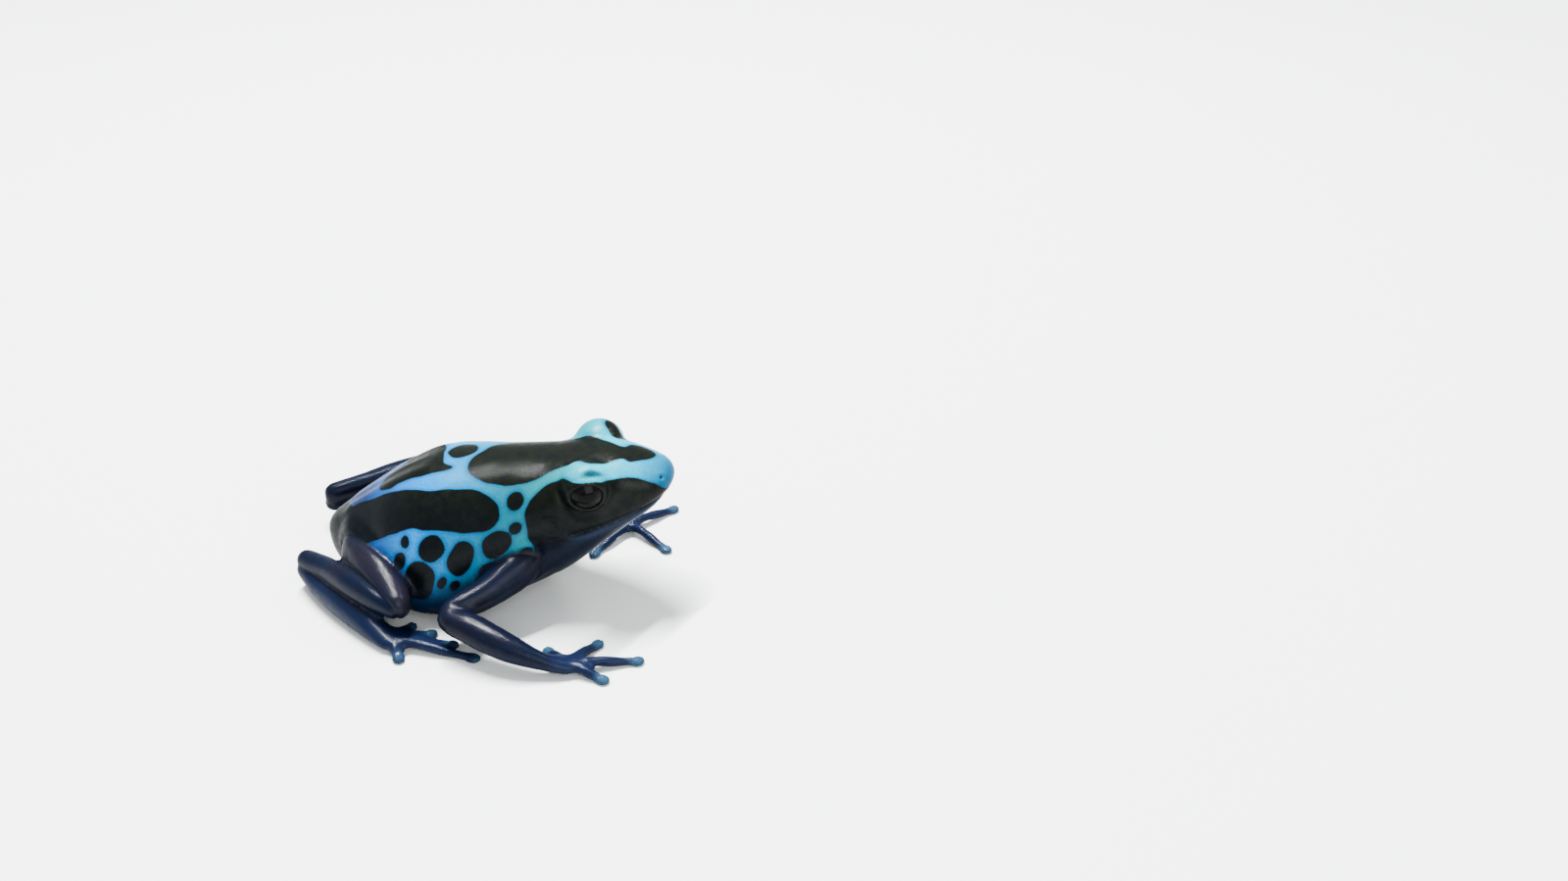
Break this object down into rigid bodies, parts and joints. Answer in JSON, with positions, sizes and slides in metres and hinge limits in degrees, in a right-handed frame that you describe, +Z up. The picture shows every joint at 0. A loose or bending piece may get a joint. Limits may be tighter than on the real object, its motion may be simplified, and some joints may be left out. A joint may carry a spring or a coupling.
{
  "type": "blue poison dart frog",
  "caption": "Life-size still model of a blue poison dart frog sitting at rest, with patterned wet skin, raised eyes and long padded digits.",
  "frame": {"origin": "bottom centre of the whole frog's bounding box, on the floor that its feet rest on", "axes": "+X towards the head, +Y to the frog's left, +Z up"},
  "size_m": [0.049, 0.0416, 0.0199],
  "materials": {
    "skin": "wet granular skin, sky blue net over glossy black blotches",
    "limb_skin": "wet granular skin, deep navy blue, lighter blue at the toe pads",
    "eye": "very glossy wet black eyeball with a dark brown iris"
  },
  "bodies": {
    "root": {"head": "skin", "torso": "skin", "upper_arm_r": "limb_skin", "forearm_r": "limb_skin", "hand_r": "limb_skin", "thigh_r": "limb_skin", "shank_r": "limb_skin", "foot_r": "limb_skin", "upper_arm_l": "limb_skin", "forearm_l": "limb_skin", "hand_l": "limb_skin", "thigh_l": "limb_skin", "shank_l": "limb_skin", "foot_l": "limb_skin", "eye_r": "eye", "eye_l": "eye"}
  },
  "joints": []
}
